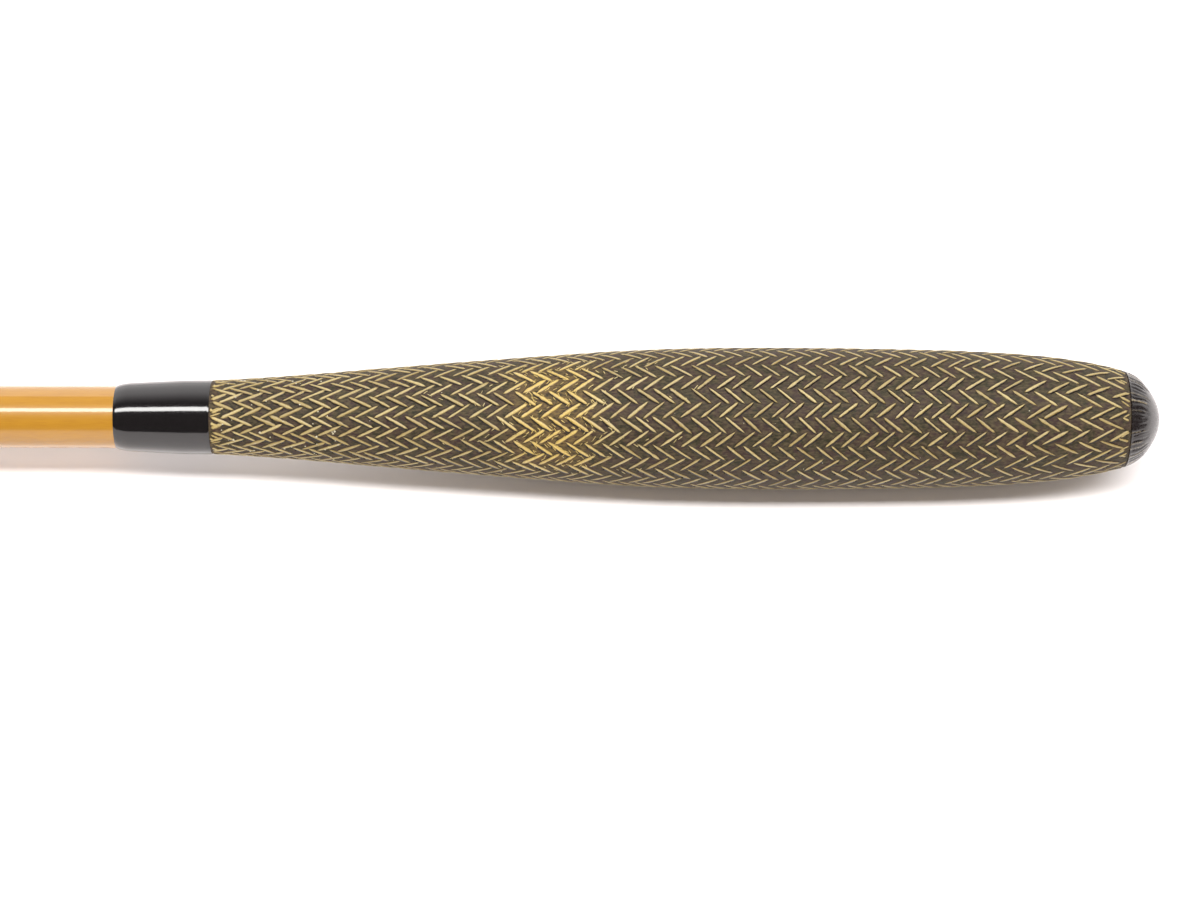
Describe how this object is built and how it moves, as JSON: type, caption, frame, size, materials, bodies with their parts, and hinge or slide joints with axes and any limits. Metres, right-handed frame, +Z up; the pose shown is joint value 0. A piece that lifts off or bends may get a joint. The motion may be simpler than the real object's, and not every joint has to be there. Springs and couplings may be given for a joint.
{
  "type": "telescopic fixed-line fly rod",
  "caption": "Closed telescopic fixed-line fly rod with a herringbone-braided lacquered grip, black collar, screw butt cap, sliding inner sections and a swivelling line knob.",
  "frame": {"origin": "on the surface under the fullest part of the level grip, half way between the butt cap's crown and the line knob's end", "axes": "+X along the rod to the butt, -X to the tip, +Z up"},
  "size_m": [0.5, 0.0284, 0.0284],
  "materials": {
    "amber_lacquer": "amber lacquer over carbon tube, high gloss",
    "black_lacquer": "black lacquer, high gloss",
    "lacquered_braid": "gold cords in dark satin lacquer",
    "binding_thread": "dark thread under lacquer",
    "cork": "ground cork, matt",
    "aluminium": "turned, satin",
    "rubber": "matt",
    "dark_lacquer": "dark brown lacquer over carbon tube, gloss",
    "tip_lacquer": "orange-red lacquer on a solid tip, gloss",
    "steel": "stainless, turned"
  },
  "bodies": {
    "handle": {"butt_blank": "amber_lacquer", "muzzle_wrap": "black_lacquer", "front_collar": "black_lacquer", "front_binding": "binding_thread", "front_arbor": "cork", "grip_core": "cork", "rear_arbor": "cork", "braid_sleeve": "lacquered_braid", "rear_binding": "binding_thread", "butt_socket": "aluminium"},
    "tube_2": {"section_2": "dark_lacquer", "section_2_wrap": "black_lacquer"},
    "tube_3": {"section_3": "dark_lacquer", "section_3_wrap": "black_lacquer"},
    "tube_4": {"section_4": "dark_lacquer", "section_4_wrap": "black_lacquer"},
    "tube_5": {"section_5": "dark_lacquer", "section_5_wrap": "black_lacquer"},
    "tube_6": {"section_6": "dark_lacquer", "section_6_wrap": "black_lacquer"},
    "tube_7": {"section_7": "dark_lacquer", "section_7_wrap": "black_lacquer"},
    "tip": {"tip_blank": "tip_lacquer", "tip_whipping": "black_lacquer", "tip_ferrule": "steel"},
    "knob": {"line_knob": "steel"},
    "seal": {"o_ring": "rubber"},
    "cap": {"butt_cap_dome": "black_lacquer", "cap_plug": "aluminium", "cushion_pad": "rubber"}
  },
  "joints": [
    {"name": "draw_2", "type": "slide", "parent": "handle", "child": "tube_2", "axis": [-1, 0, 0], "range_m": [0, 0.388]},
    {"name": "draw_3", "type": "slide", "parent": "tube_2", "child": "tube_3", "axis": [-1, 0, 0], "range_m": [0, 0.392]},
    {"name": "draw_4", "type": "slide", "parent": "tube_3", "child": "tube_4", "axis": [-1, 0, 0], "range_m": [0, 0.396]},
    {"name": "draw_5", "type": "slide", "parent": "tube_4", "child": "tube_5", "axis": [-1, 0, 0], "range_m": [0, 0.4]},
    {"name": "draw_6", "type": "slide", "parent": "tube_5", "child": "tube_6", "axis": [-1, 0, 0], "range_m": [0, 0.404]},
    {"name": "draw_7", "type": "slide", "parent": "tube_6", "child": "tube_7", "axis": [-1, 0, 0], "range_m": [0, 0.408]},
    {"name": "draw_8", "type": "slide", "parent": "tube_7", "child": "tip", "axis": [-1, 0, 0], "range_m": [0, 0.412]},
    {"name": "knob_swivel", "type": "hinge", "parent": "tip", "child": "knob", "pos_m": [-0.2455, 0, 0.0142], "axis": [1, 0, 0], "continuous": true},
    {"name": "cap_advance", "type": "slide", "parent": "handle", "child": "seal", "axis": [1, 0, 0], "range_m": [0, 0.00701]},
    {"name": "cap_turn", "type": "hinge", "parent": "seal", "child": "cap", "pos_m": [0.245, 0, 0.0142], "axis": [1, 0, 0], "range_deg": [0, 2520]}
  ],
  "couplings": [
    {"joint": "cap_advance", "follows": "cap_turn", "m_per_rad": 0.00015915}
  ]
}
